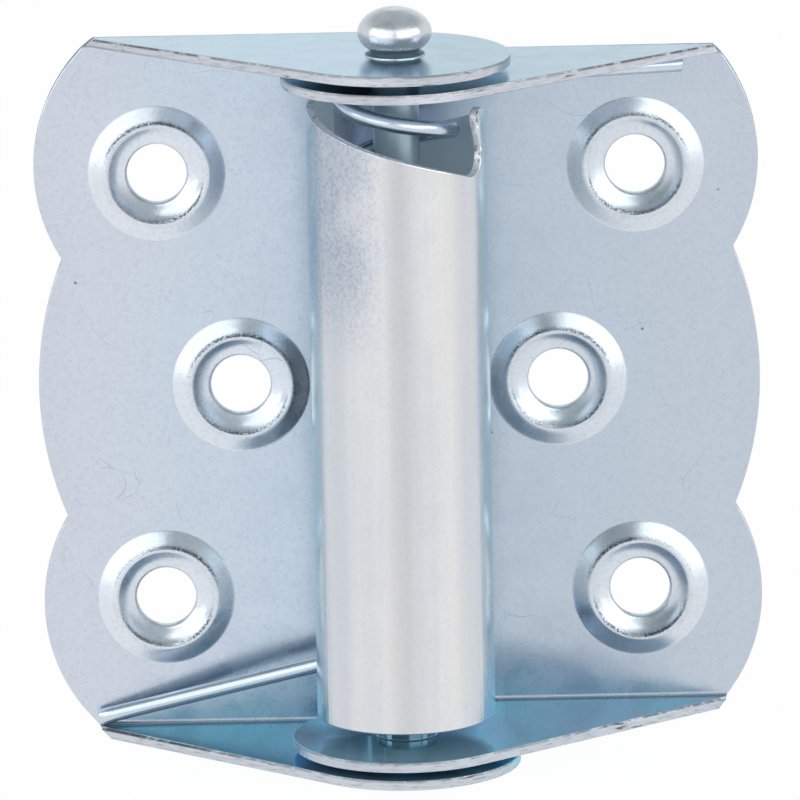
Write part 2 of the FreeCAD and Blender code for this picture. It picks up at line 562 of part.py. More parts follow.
def draw_blank():
    """The sleeve's flat blank: x along the sheet from the middle of the seam, y along the pin."""
    sketch = doc.addObject("Sketcher::SketchObject", "sleeve_blank")
    top = value(CROWN_TOP)
    foot = -value(SLEEVE_FOOT)
    left = value(f"{SEAM_WIDTH} / 2")
    right = value(f"{BLANK_WIDTH} - {SEAM_WIDTH} / 2")
    ramp = left + value("Sizes.crown_flat")
    throat_radius = value("Sizes.hook_radius")
    nose_radius = value("Sizes.nose_radius")
    throat = (left + value("Sizes.hook_place"), top - value("Sizes.hook_depth") + throat_radius)
    nose = (throat[0] + value("Sizes.nose_lead"), top - nose_radius)
    span = throat[0] - ramp
    drop = top - throat[1]
    fall = math.atan2(drop, span) + math.asin(throat_radius / math.hypot(span, drop))
    lead = nose[0] - throat[0]
    climb = nose[1] - throat[1]
    lean = math.atan2(climb, lead) - math.acos((throat_radius + nose_radius) / math.hypot(lead, climb))

    def round_point(centre, radius, angle):
        return centre[0] + radius * math.cos(angle), centre[1] + radius * math.sin(angle)

    under_ramp = 3 * math.pi / 2 - fall
    over_ramp = math.pi / 2 - fall
    nose_top = round_point(nose, nose_radius, over_ramp)
    rear_foot = (right, nose_top[1] - (right - nose_top[0]) * math.tan(fall))
    left_seam = line(sketch, (left, foot), (left, top))
    flat = line(sketch, (left, top), (ramp, top))
    front_ramp = line(sketch, (ramp, top), round_point(throat, throat_radius, under_ramp))
    pocket = arc(sketch, throat, throat_radius, math.degrees(under_ramp), math.degrees(lean) + 360)
    wall_foot = round_point(throat, throat_radius, lean)
    wall_top = round_point(nose, nose_radius, lean + math.pi)
    wall = line(sketch, wall_foot, wall_top)
    beak = arc(sketch, nose, nose_radius, math.degrees(over_ramp), math.degrees(lean) + 180)
    rear_ramp = line(sketch, nose_top, rear_foot)
    right_seam = line(sketch, rear_foot, (right, foot))
    bottom = line(sketch, (right, foot), (left, foot))
    chain(sketch, [rear_ramp, right_seam, bottom, left_seam, flat, front_ramp], close=False)
    relate(sketch, "Tangent", front_ramp, END, pocket, START)
    relate(sketch, "Tangent", pocket, END, wall, START)
    relate(sketch, "Tangent", wall, END, beak, END)
    relate(sketch, "Tangent", beak, START, rear_ramp, START)
    relate(sketch, "Parallel", front_ramp, rear_ramp)
    for upright in (left_seam, right_seam):
        relate(sketch, "Vertical", upright)
    for level in (flat, bottom):
        relate(sketch, "Horizontal", level)
    dimension(sketch, "DistanceX", (*ORIGIN, left_seam, START), f"{SEAM_WIDTH} / 2")
    dimension(sketch, "DistanceX", (*ORIGIN, right_seam, END), f"{BLANK_WIDTH} - {SEAM_WIDTH} / 2")
    dimension(sketch, "DistanceY", (left_seam, START, *ORIGIN), SLEEVE_FOOT)
    dimension(sketch, "DistanceY", (*ORIGIN, left_seam, END), CROWN_TOP)
    dimension(sketch, "DistanceX", (flat, START, flat, END), "Sizes.crown_flat")
    dimension(sketch, "Radius", (pocket,), "Sizes.hook_radius")
    dimension(sketch, "Radius", (beak,), "Sizes.nose_radius")
    dimension(sketch, "DistanceX", (flat, START, pocket, CENTRE), "Sizes.hook_place")
    throat_height = f"{CROWN_TOP} - Sizes.hook_depth + Sizes.hook_radius"
    dimension(sketch, "DistanceY", (*ORIGIN, pocket, CENTRE), throat_height)
    dimension(sketch, "DistanceX", (pocket, CENTRE, beak, CENTRE), "Sizes.nose_lead")
    dimension(sketch, "DistanceY", (*ORIGIN, beak, CENTRE), f"{CROWN_TOP} - Sizes.nose_radius")
    doc.recompute()
    return sketch


def rolled(edge, radius):
    """A flat blank's edge wrapped onto a tube, the blank's length kept at the middle of the sheet."""
    middle = value(SLEEVE_MIDDLE)
    flat = edge.Curve.toBSpline(edge.FirstParameter, edge.LastParameter)
    poles = [FreeCAD.Base.Vector2d(pole.x / middle, pole.y) for pole in flat.getPoles()]
    curve = Part.Geom2d.BSplineCurve2d()
    curve.buildFromPolesMultsKnots(
        poles, flat.getMultiplicities(), flat.getKnots(), False, flat.Degree, flat.getWeights()
    )
    return on_tube(curve, radius)


def make_sleeve():
    """The sleeve: its blank rolled about the pin, inside and outside walls joined along every edge."""
    blank = draw_blank().Shape.Wires[0].OrderedEdges
    skins = []
    for expression in (SLEEVE_BORE, "Sizes.sleeve_radius"):
        tube = Part.Cylinder()
        tube.Radius = value(expression)
        edges = [rolled(edge, tube.Radius) for edge in blank]
        skin = Part.Face(tube, Part.Wire(edges))
        skin.validate()
        skins.append((edges, skin))
    (inner_edges, inner_skin), (outer_edges, outer_skin) = skins
    rims = [Part.makeRuledSurface(inner, outer) for inner, outer in zip(inner_edges, outer_edges)]
    shell = Part.Shell([inner_skin, outer_skin, *rims])
    shell.sewShape()
    solid = Part.makeSolid(shell)
    if solid.Volume < 0:
        solid.reverse()
    sleeve = doc.addObject("Part::Feature", "spring_sleeve")
    sleeve.Label = "spring_sleeve"
    sleeve.Shape = solid
    return sleeve


frame_leaf = make_leaf("frame_leaf", FRAME_HALF)
door_leaf = make_leaf("door_leaf", DOOR_HALF)
add_collars(door_leaf)
hinge_pin = make_pin()
torsion_spring = make_spring()
spring_sleeve = make_sleeve()

pin_axis = FreeCAD.Vector(0, -value(PIN_OFFSET), 0)
upright = FreeCAD.Vector(0, 0, 1)
frame_leaf.Placement = FreeCAD.Placement(FreeCAD.Vector(), FreeCAD.Rotation(FreeCAD.Vector(0, 1, 0), 180))
hinge_pin.Placement = FreeCAD.Placement(pin_axis, FreeCAD.Rotation())
torsion_spring.Placement = FreeCAD.Placement(pin_axis, FreeCAD.Rotation())
seam_turn = FreeCAD.Rotation(upright, value(f"{SEAM_ANGLE} / 1 deg"))
spring_sleeve.Placement = FreeCAD.Placement(pin_axis, seam_turn)
doc.recompute()

for item in doc.Objects:
    if "Invalid" in item.State or "Error" in item.State:
        raise RuntimeError(f"{item.Label} did not build: {item.State}")

os.makedirs("parts", exist_ok=True)
for piece in (frame_leaf, door_leaf, hinge_pin, torsion_spring, spring_sleeve):
    if piece.Shape.isNull() or not piece.Shape.isValid() or len(piece.Shape.Solids) != 1:
        raise RuntimeError(f"{piece.Label} is not one sound solid")
    piece.Shape.exportStep(f"parts/{piece.Label}.step")
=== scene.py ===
import math

import bmesh
import bpy
import numpy as np
from mathutils import Matrix, Vector


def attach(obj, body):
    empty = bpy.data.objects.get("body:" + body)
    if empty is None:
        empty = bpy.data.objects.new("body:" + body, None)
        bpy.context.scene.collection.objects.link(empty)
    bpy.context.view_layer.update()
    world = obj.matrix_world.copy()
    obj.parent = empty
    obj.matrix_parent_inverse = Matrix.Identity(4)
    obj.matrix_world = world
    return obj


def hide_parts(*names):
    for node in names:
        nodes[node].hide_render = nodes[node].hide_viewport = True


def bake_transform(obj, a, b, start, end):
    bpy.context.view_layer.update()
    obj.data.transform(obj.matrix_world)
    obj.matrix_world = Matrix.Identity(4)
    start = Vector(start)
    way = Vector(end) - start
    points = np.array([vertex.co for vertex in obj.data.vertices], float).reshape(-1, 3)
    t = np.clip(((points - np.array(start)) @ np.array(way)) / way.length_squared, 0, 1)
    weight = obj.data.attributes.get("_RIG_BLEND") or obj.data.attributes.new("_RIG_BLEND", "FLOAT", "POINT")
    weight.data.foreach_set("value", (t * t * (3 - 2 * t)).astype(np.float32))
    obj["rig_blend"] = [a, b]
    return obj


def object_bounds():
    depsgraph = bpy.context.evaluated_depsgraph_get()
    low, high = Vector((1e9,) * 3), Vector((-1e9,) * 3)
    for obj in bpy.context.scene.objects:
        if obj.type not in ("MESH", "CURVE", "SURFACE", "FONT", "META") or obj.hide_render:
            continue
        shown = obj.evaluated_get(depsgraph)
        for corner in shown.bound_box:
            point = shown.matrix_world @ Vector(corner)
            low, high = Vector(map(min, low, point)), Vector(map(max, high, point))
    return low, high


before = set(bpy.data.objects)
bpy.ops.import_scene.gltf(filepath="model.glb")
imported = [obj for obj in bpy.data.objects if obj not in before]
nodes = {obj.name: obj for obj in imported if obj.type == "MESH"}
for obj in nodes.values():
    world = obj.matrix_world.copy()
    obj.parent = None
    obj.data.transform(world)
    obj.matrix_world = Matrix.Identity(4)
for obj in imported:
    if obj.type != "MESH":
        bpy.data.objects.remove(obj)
cad_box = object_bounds()
scene = bpy.context.scene
MM = 0.001

# ---------------------------------------------------------------- sizes shared with the solid part, in metres
PIN_Y = -13.0 * MM
SHEET = 1.0 * MM
EAR_STEP = 1.75 * MM            # from one ear to the one nested in it: a sheet and a gap
FRAME_EAR_INSIDE = 33.85 * MM
DOOR_EAR_INSIDE = 32.10 * MM
BEND_INSIDE = 1.0 * MM
WIRE_RADIUS = 0.775 * MM
COIL_RADIUS = 5.3 * MM
COIL_TURNS = 6.0
LEG_SEAT = -PIN_Y - SHEET - WIRE_RADIUS
DOOR_REACH = 27.7 * MM
FRAME_REACH = 29.8 * MM
UPPER_LEG = 31.125 * MM
LOWER_TIP = -32.875 * MM
LOWER_FOOT = -24.275 * MM
LEAD_DROP = 2.05 * MM
LEAD_FALL = 1.0 * MM
DISH_FOOT = 6.75 * MM
DISH_PLACES = ((23.1 * MM, 21.1 * MM), (15.4 * MM, 0.0), (23.1 * MM, -21.1 * MM))


# ---------------------------------------------------------------- shader helpers
class Nodes:
    """Adds nodes to an emptied tree; an input that is a socket is linked and anything else is set."""

    def __init__(self, tree):
        self.tree = tree
        self.tree.nodes.clear()

    def add(self, kind, inputs=(), **settings):
        node = self.tree.nodes.new(kind)
        for key, setting in settings.items():
            setattr(node, key, setting)
        for key, given in dict(inputs).items():
            self.set(node.inputs[key], given)
        return node

    def set(self, socket, given):
        if isinstance(given, bpy.types.NodeSocket):
            self.tree.links.new(given, socket)
        else:
            socket.default_value = given

    def math(self, operation, first, second=0.0, third=0.0):
        inputs = {0: first, 1: second, 2: third}
        return self.add("ShaderNodeMath", inputs, operation=operation).outputs[0]

    def times(self, first, second):
        return self.math("MULTIPLY", first, second)

    def plus(self, first, second):
        return self.math("ADD", first, second)

    def scaled(self, given, scale, base):
        return self.math("MULTIPLY_ADD", given, scale, base)

    def mix(self, share, first, second):
        return self.add("ShaderNodeMix", {0: share, 6: first, 7: second}, data_type="RGBA").outputs[2]

    def ramp(self, given, low, high, start=0.0, end=1.0):
        """Goes smoothly from start to end while the given value goes from low to high."""
        inputs = {0: given, 1: low, 2: high, 3: start, 4: end}
        return self.add("ShaderNodeMapRange", inputs, interpolation_type="SMOOTHSTEP").outputs[0]

    def split(self, vector):
        return tuple(self.add("ShaderNodeSeparateXYZ", {0: vector}).outputs)


class Shader(Nodes):
    """One material: its nodes, and the places and directions that they read."""

    def __init__(self, name):
        self.material = bpy.data.materials.new(name)
        self.material.use_nodes = True
        super().__init__(self.material.node_tree)
        self.surface = self.add("ShaderNodeBsdfPrincipled")
        self.output = self.add("ShaderNodeOutputMaterial", {"Surface": self.surface.outputs["BSDF"]})
        place = self.add("ShaderNodeTexCoord")
        self.point, self.facing, self.uv = (place.outputs[key] for key in ("Object", "Normal", "UV"))

    def mark(self, name):
        return self.add("ShaderNodeAttribute", attribute_name=name).outputs["Fac"]

    def stretched(self, scale):
        return self.add("ShaderNodeMapping", {"Vector": self.point, "Scale": scale}).outputs[0]

    def noise(self, scale, detail=2.0, rough=0.5, vector=None, distortion=0.0):
        inputs = {"Vector": vector or self.point, "Scale": scale, "Detail": detail, "Roughness": rough,
                  "Distortion": distortion}
        return self.add("ShaderNodeTexNoise", inputs).outputs[0]

    def specks(self, scale, size):
        """1 inside small round spots, one to a cell, and 0 between them."""
        cells = self.add("ShaderNodeTexVoronoi", {"Vector": self.point, "Scale": scale})
        return self.ramp(cells.outputs["Distance"], size * 0.6, size, 1.0, 0.0)

    def hairlines(self, scale, width, seed):
        """1 along short curved scratches, and 0 between them."""
        bent = self.add("ShaderNodeTexNoise", {"Vector": self.point, "Scale": scale * 0.6}).outputs["Color"]
        moved = self.add("ShaderNodeVectorMath", {0: bent, "Scale": 0.9 / scale}, operation="SCALE")
        shifted = self.add("ShaderNodeVectorMath", {0: self.point, 1: moved.outputs[0]})
        away = (seed, seed * 0.7, seed * 1.3)
        offset = self.add("ShaderNodeVectorMath", {0: shifted.outputs[0], 1: away}).outputs[0]
        inputs = {"Vector": offset, "Scale": scale}
        cells = self.add("ShaderNodeTexVoronoi", inputs, feature="DISTANCE_TO_EDGE")
        line = self.ramp(cells.outputs[0], width * 0.3, width, 1.0, 0.0)
        some = self.ramp(self.noise(scale * 1.9, 1.0, vector=offset), 0.56, 0.64)
        return self.times(line, some)

    def from_pin(self):
        """The distance from the pin's axis."""
        moved = self.add("ShaderNodeVectorMath", {0: self.point, 1: (0.0, -PIN_Y, 0.0)}, operation="ADD")
        level = {0: moved.outputs[0], 1: (1.0, 1.0, 0.0)}
        level = self.add("ShaderNodeVectorMath", level, operation="MULTIPLY")
        return self.add("ShaderNodeVectorMath", {0: level.outputs[0]}, operation="LENGTH").outputs["Value"]

    def bump(self, height, strength, distance, before=None):
        inputs = {"Height": height, "Strength": strength, "Distance": distance}
        if before is not None:
            inputs["Normal"] = before
        return self.add("ShaderNodeBump", inputs).outputs[0]

    def finish(self, **inputs):
        for key, given in inputs.items():
            self.set(self.surface.inputs[key.replace("_", " ")], given)
        return self.material


def linear(red, green, blue):
    """A colour as it looks, in 0 to 255, as the shader's linear values."""
    def part(level):
        level = level / 255.0
        return level / 12.92 if level <= 0.04045 else ((level + 0.055) / 1.055) ** 2.4
    return (part(red), part(green), part(blue), 1.0)


def tones(table):
    return {name: linear(*levels) for name, levels in table.items()}


# ---------------------------------------------------------------- materials, with colours as they look
LEAF_TONES = tones({
    "left_outer": (207, 213, 225), "left_inner": (199, 213, 228),
    "right_inner": (187, 200, 214), "right_outer": (194, 203, 215),
    "ear_reflection_blue": (166, 208, 226), "ear_reflection_violet": (186, 190, 222), "pressed": (244, 247, 250),
    "grain": (150, 162, 178), "scratch": (132, 146, 164), "speck": (70, 84, 98),
    "scuff_and_shade": (70, 80, 92), "foot_shade": (120, 138, 158), "collar": (132, 146, 152),
    "edge": (205, 209, 217), "drawn": (130, 133, 143), "border_shade": (74, 72, 80), "chip": (58, 54, 60)})
SLEEVE_TONES = tones({
    "streak": (212, 215, 220), "between": (229, 228, 228), "cloud": (229, 226, 221),
    "middle": (184, 184, 191), "flank_reflection": (196, 203, 212), "away": (184, 204, 213),
    "grain": (160, 168, 182), "rubbed": (166, 178, 196), "rubbed_grain": (140, 150, 172),
    "spot": (110, 112, 120), "bore": (232, 246, 254), "edge": (232, 233, 236), "worn": (96, 104, 114)})
PIN_TONES = tones({
    "dark": (206, 208, 214), "light": (228, 229, 233), "pit": (110, 110, 120),
    "shank": (176, 195, 205), "neck": (128, 148, 156)})
WIRE_TONES = tones({"dark": (190, 203, 216), "light": (216, 222, 229), "grain": (140, 150, 160)})
LEAF_GLANCE = (0.80, 0.92, 0.95, 1.0)
LOW_EAR_GLANCE = (0.40, 0.90, 1.0, 1.0)
SHEET_GLANCE = (0.84, 0.97, 1.0, 1.0)
PIN_GLANCE = (0.90, 0.96, 1.0, 1.0)
LEAF_INNER = 9.0 * MM
LEAF_OUTER = 34.0 * MM
COLLAR_REACH = 3.2 * MM
LOW_EAR_SHIFT = 0.45 * MM       # where the lower ears stand in the step between ears
GRAIN_DEPTH = 0.02 * MM


def plate_colour(s, x, nz, low_ear, grain, scratch):
    """Zinc on the flats: a cloudy cast, painted light and reflection across the leaves and on the lower ears,
    grain, scratches and specks, and the pressed rings with a painted sheen, crest scuffs darkened as painted
    shade on the up-facing slopes, and a painted shade line at their foot.
    """
    tone = LEAF_TONES
    cloud = s.scaled(s.noise(42.0, 3.0, 0.55, distortion=0.6), 1.1, -0.55)
    # Painted light and reflection: the left leaf is painted lighter than the right, and both go bluer towards
    # the sleeve, partly the passivate's own blue and partly a painted reflection of the sleeve.
    to_left = s.plus(s.ramp(x, -LEAF_OUTER, -LEAF_INNER), cloud)
    to_right = s.plus(s.ramp(x, LEAF_INNER, LEAF_OUTER), cloud)
    left = s.mix(to_left, tone["left_outer"], tone["left_inner"])
    right = s.mix(to_right, tone["right_inner"], tone["right_outer"])
    colour = s.mix(s.ramp(x, -6.0 * MM, 6.0 * MM), left, right)
    # Painted reflection: the lower ears are painted teal and violet for what their tops reflect at a glance.
    ear_reflection = s.mix(s.ramp(s.noise(70.0, 2.0), 0.40, 0.62), tone["ear_reflection_blue"], tone["ear_reflection_violet"])
    colour = s.mix(s.times(low_ear, 0.7), colour, ear_reflection)
    # Painted sheen: the pressed rings are painted paler than the flat sheet.
    colour = s.mix(s.times(s.mark("pressed"), 0.4), colour, tone["pressed"])
    colour = s.mix(s.ramp(grain, 0.40, 0.80, 0.0, 0.22), colour, tone["grain"])
    colour = s.mix(s.times(scratch, 0.32), colour, tone["scratch"])
    colour = s.mix(s.times(s.specks(170.0, 0.03), 0.7), colour, tone["speck"])
    # Crest scuffs: real wear, darkened more on slopes that face up, which is painted shade.
    fine = s.ramp(s.noise(5200.0, 2.0, 0.8), 0.26, 0.60)
    scuffs_and_shade = s.times(fine, s.ramp(s.mark("crest"), 0.0, 0.55))
    scuffs_and_shade = s.times(scuffs_and_shade, s.ramp(s.noise(170.0, 2.0), 0.34, 0.54, 0.45, 1.0))
    scuffs_and_shade = s.times(scuffs_and_shade, s.ramp(nz, 0.02, 0.22, 0.12, 1.0))
    colour = s.mix(scuffs_and_shade, colour, tone["scuff_and_shade"])
    # Painted shade: a thin darker line in the crease at each dish's foot.
    return s.mix(s.times(s.mark("foot_shade"), 0.26), colour, tone["foot_shade"])


def edge_colour(s, x, z, in_plate, in_ear):
    """Sheared edges: pale metal streaked along the edge, a dark broken line of painted shade on the upper
    border and on the plate's edges near the top, and chips.
    """
    tone = LEAF_TONES
    along = {0: in_plate, 4: s.stretched((0.10, 0.10, 1.0)), 5: s.stretched((0.10, 1.0, 0.10))}
    along = s.add("ShaderNodeMix", along, data_type="VECTOR").outputs[1]
    drawn = s.noise(6500.0, 3.0, 0.7, vector=along)
    colour = s.mix(s.ramp(drawn, 0.44, 0.76, 0.0, 0.55), tone["edge"], tone["drawn"])
    # Painted shade: a dark broken line under the upper border of the ears' edges, and along the plate's edges
    # near the top.
    level = s.plus(z, s.ramp(z, -MM, MM, LOW_EAR_SHIFT, 0.0))
    upper = s.ramp(s.math("WRAP", level, EAR_STEP, 0.0), 1.28 * MM, 1.46 * MM)
    outer = s.ramp(s.math("ABSOLUTE", x), 12.0 * MM, 22.0 * MM, 0.55, 1.0)
    border_shade = s.times(upper, s.times(outer, in_ear))
    shoulder = s.times(s.ramp(z, 19.0 * MM, 27.0 * MM), in_plate)
    broken = s.ramp(s.noise(420.0, 4.0, 0.75), 0.36, 0.54)
    border_shade = s.times(s.math("MAXIMUM", border_shade, shoulder), broken)
    colour = s.mix(s.times(border_shade, 0.85), colour, tone["border_shade"])
    chips = s.times(s.ramp(s.noise(2600.0, 3.0, 0.7, vector=along), 0.63, 0.69), 0.8)
    return s.mix(chips, colour, tone["chip"])


def leaf_zinc():
    """Blue zinc on stamped sheet; the lower ears are painted a teal-violet that stands for their reflection,
    and the collars are smoother and painted darker as shade.
    """
    s = Shader("leaf_zinc")
    x, y, z = s.split(s.point)
    nx, ny, nz = s.split(s.facing)
    from_pin = s.from_pin()
    in_plate = s.ramp(y, -2.4 * MM, -1.9 * MM)
    in_ear = s.math("SUBTRACT", 1.0, in_plate)
    low_ear = s.times(s.ramp(z, -32.0 * MM, -31.6 * MM, 1.0, 0.0), s.ramp(y, -1.35 * MM, -1.7 * MM))
    flatness = {0: in_plate, 2: s.math("ABSOLUTE", nz), 3: s.math("ABSOLUTE", ny)}
    flatness = s.add("ShaderNodeMix", flatness).outputs[0]
    sheared = s.times(s.ramp(flatness, 0.5, 0.8, 1.0, 0.0), s.ramp(from_pin, COLLAR_REACH, 3.6 * MM))
    sideways = s.ramp(s.math("ABSOLUTE", nx), 0.2, 0.4)
    sheared = s.times(sheared, s.math("MAXIMUM", in_ear, sideways))
    collar = s.times(s.ramp(from_pin, COLLAR_REACH, 3.0 * MM), s.ramp(flatness, 0.3, 0.5, 1.0, 0.0))
    grain = s.noise(2600.0, 3.0, 0.6)
    scratch = s.hairlines(120.0, 0.006, 0.37)
    plate = plate_colour(s, x, nz, low_ear, grain, scratch)
    colour = s.mix(sheared, plate, edge_colour(s, x, z, in_plate, in_ear))
    # Painted shade: the collars round the pin, in the shade between the sleeve and the ears, are painted
    # darker.
    colour = s.mix(collar, colour, LEAF_TONES["collar"])
    low_ear = s.times(low_ear, s.math("SUBTRACT", 1.0, collar))
    rough = s.ramp(s.noise(260.0, 4.0, 0.6), 0.3, 0.7, 0.22, 0.32)
    rough = s.plus(rough, s.times(s.math("SUBTRACT", in_plate, 1.0), 0.07))
    rough = s.plus(rough, s.times(sheared, 0.14))
    rough = s.times(rough, s.scaled(collar, -0.5, 1.0))
    rough = s.scaled(low_ear, -0.07, rough)
    # The lower ears are partly diffuse so that their painted colour shows, less so on the frame's ear, which
    # lies under the door's.
    metal = s.scaled(low_ear, s.ramp(z, -33.6 * MM, -33.3 * MM, -0.16, -0.36), 1.0)
    glance = s.mix(low_ear, LEAF_GLANCE, LOW_EAR_GLANCE)
    normal = s.bump(grain, 0.16, GRAIN_DEPTH)
    normal = s.bump(scratch, 0.15, GRAIN_DEPTH, normal)
    normal = s.bump(s.noise(110.0, 2.0), 0.08, 0.12 * MM, normal)
    return s.finish(Base_Color=colour, Metallic=metal, Roughness=rough, Normal=normal, Specular_Tint=glance)


def sleeve_zinc():
    """Rolled sheet: long streaks, painted reflections down the middle, on the flanks and on the turned-away
    sides, a rubbed patch at the upper left, a bore painted pale as painted light, and worn sheared edges.
    """
    s = Shader("sleeve_zinc")
    tone = SLEEVE_TONES
    x, y, z = s.split(s.point)
    nx, ny = s.split(s.facing)[:2]
    across = s.math("ABSOLUTE", x)
    grain = s.noise(2800.0, 3.0, 0.65)
    streak = s.noise(230.0, 3.0, 0.55, vector=s.stretched((1.0, 1.0, 0.03)))
    colour = s.mix(s.ramp(streak, 0.35, 0.68), tone["streak"], tone["between"])
    colour = s.mix(s.ramp(s.noise(60.0, 3.0, 0.5), 0.45, 0.7, 0.0, 0.35), colour, tone["cloud"])
    # Painted reflection: a darker band down the middle of the front.
    colour = s.mix(s.ramp(across, 0.2 * MM, 2.4 * MM, 0.45, 0.0), colour, tone["middle"])
    # Painted reflection: the flanks are painted a cooler grey.
    colour = s.mix(s.ramp(across, 4.6 * MM, 6.4 * MM, 0.0, 0.4), colour, tone["flank_reflection"])
    # Painted reflection: the turned-away limbs and the back are painted a teal tint.
    away = s.math("MAXIMUM", s.ramp(across, 6.9 * MM, 8.2 * MM), s.ramp(y, PIN_Y, PIN_Y + 3.0 * MM))
    colour = s.mix(s.times(away, 0.35), colour, tone["away"])
    colour = s.mix(s.ramp(grain, 0.45, 0.80, 0.0, 0.16), colour, tone["grain"])
    upper_left = s.times(s.ramp(z, 4.0 * MM, 19.0 * MM), s.ramp(x, -0.5 * MM, -4.5 * MM))
    rubbed = s.times(s.ramp(s.noise(110.0, 2.0, 0.6), 0.16, 0.46), upper_left)
    colour = s.mix(s.times(rubbed, 0.60), colour, tone["rubbed"])
    rubbed_grain = s.times(s.ramp(grain, 0.42, 0.62), s.times(rubbed, 0.45))
    colour = s.mix(rubbed_grain, colour, tone["rubbed_grain"])
    spots = s.times(s.specks(230.0, 0.05), s.ramp(s.noise(80.0), 0.55, 0.7))
    colour = s.mix(s.times(spots, 0.6), colour, tone["spot"])
    # Painted light: the bore is painted pale and made mostly diffuse, so that the inside of the sleeve reads
    # brighter.
    outward = s.plus(s.times(x, nx), s.times(s.math("SUBTRACT", y, PIN_Y), ny))
    bore = s.ramp(outward, -3.0 * MM, -1.0 * MM, 1.0, 0.0)
    colour = s.mix(bore, colour, tone["bore"])
    sheared = s.ramp(s.math("ABSOLUTE", outward), 2.0 * MM, 4.0 * MM, 1.0, 0.0)
    worn = s.ramp(s.noise(1500.0, 3.0, 0.7), 0.54, 0.64, 0.0, 0.7)
    colour = s.mix(sheared, colour, s.mix(worn, tone["edge"], tone["worn"]))
    rough = s.ramp(s.noise(300.0, 4.0, 0.6), 0.3, 0.7, 0.20, 0.28)
    for mask, added in ((rubbed, 0.06), (bore, 0.25), (sheared, 0.15)):
        rough = s.plus(rough, s.times(mask, added))
    metal = s.scaled(bore, -0.85, s.scaled(sheared, -0.5, 1.0))
    normal = s.bump(grain, s.scaled(rubbed, 0.25, 0.08), GRAIN_DEPTH)
    return s.finish(Base_Color=colour, Metallic=metal, Roughness=rough, Normal=normal,
                    Specular_Tint=SHEET_GLANCE)


def pin_steel():
    """A bright pitted head with small dents, a neck under it painted darker as shade under the head, and a
    duller shank.
    """
    s = Shader("pin_steel")
    tone = PIN_TONES
    z = s.split(s.point)[2]
    grain = s.noise(2200.0, 3.0, 0.7)
    colour = s.mix(s.ramp(s.noise(240.0, 3.0), 0.35, 0.7), tone["dark"], tone["light"])
    pits = s.times(s.specks(1300.0, 0.16), s.ramp(s.noise(420.0), 0.48, 0.62))
    colour = s.mix(s.times(pits, 0.45), colour, tone["pit"])
    shank = s.ramp(z, 34.4 * MM, 34.9 * MM, 1.0, 0.0)
    colour = s.mix(shank, colour, tone["shank"])
    # Painted shade: the neck under the head is painted darker and rougher.
    neck = s.times(s.ramp(z, 34.93 * MM, 34.97 * MM), s.ramp(z, 35.62 * MM, 35.50 * MM))
    colour = s.mix(s.times(neck, 0.95), colour, tone["neck"])
    rough = s.plus(s.ramp(grain, 0.3, 0.7, 0.24, 0.34), s.times(shank, 0.06))
    rough = s.plus(rough, s.times(neck, 0.3))
    metal = s.scaled(shank, -0.35, 1.0)
    dents = s.noise(520.0, 3.0, 0.6)
    normal = s.bump(dents, 0.50, 0.06 * MM, s.bump(grain, 0.35, GRAIN_DEPTH))
    return s.finish(Base_Color=colour, Metallic=metal, Roughness=rough, Normal=normal, Specular_Tint=PIN_GLANCE)


def spring_wire():
    """Bright wire with fine drawing lines along it."""
    s = Shader("spring_wire")
    tone = WIRE_TONES
    drawn = s.add("ShaderNodeMapping", {"Vector": s.uv, "Scale": (14.0, 0.14, 1.0)}).outputs[0]
    lines = s.noise(3.0, 3.0, 0.6, vector=drawn)
    colour = s.mix(s.ramp(lines, 0.35, 0.7), tone["dark"], tone["light"])
    grain = s.noise(2600.0, 3.0, 0.65)
    colour = s.mix(s.ramp(grain, 0.52, 0.80, 0.0, 0.14), colour, tone["grain"])
    rough = s.ramp(lines, 0.3, 0.7, 0.24, 0.30)
    normal = s.bump(lines, 0.06, GRAIN_DEPTH)
    return s.finish(Base_Color=colour, Metallic=1.0, Roughness=rough, Normal=normal, Specular_Tint=SHEET_GLANCE)


def dress(piece, material):
    piece.data.materials.clear()
    piece.data.materials.append(material)


# ---------------------------------------------------------------- the spring's round wire
LEAD_STEPS = 48
TURN_STEPS = 40
EXIT_STEPS = 28
LEG_STEPS = 24
WIRE_SIDES = 20
WIRE_NIP = 0.12 * MM            # how far the sheared ends are rounded
NIP_SHARE = 0.35
UV_PER_METRE = 100.0


def eased(start, end, fall_in, fall_out, steps):
    """Angle and height along a turn whose fall per radian goes smoothly from fall_in to fall_out."""
    (a0, h0), (a1, h1) = start, end
    third = (a1 - a0) / 3.0
    heights = (h0, h0 - fall_in * third, h1 + fall_out * third, h1)
    t = np.linspace(0.0, 1.0, steps)
    terms = enumerate(zip((1, 3, 3, 1), heights))
    return a0 + (a1 - a0) * t, sum(c * h * t**i * (1 - t)**(3 - i) for i, (c, h) in terms)


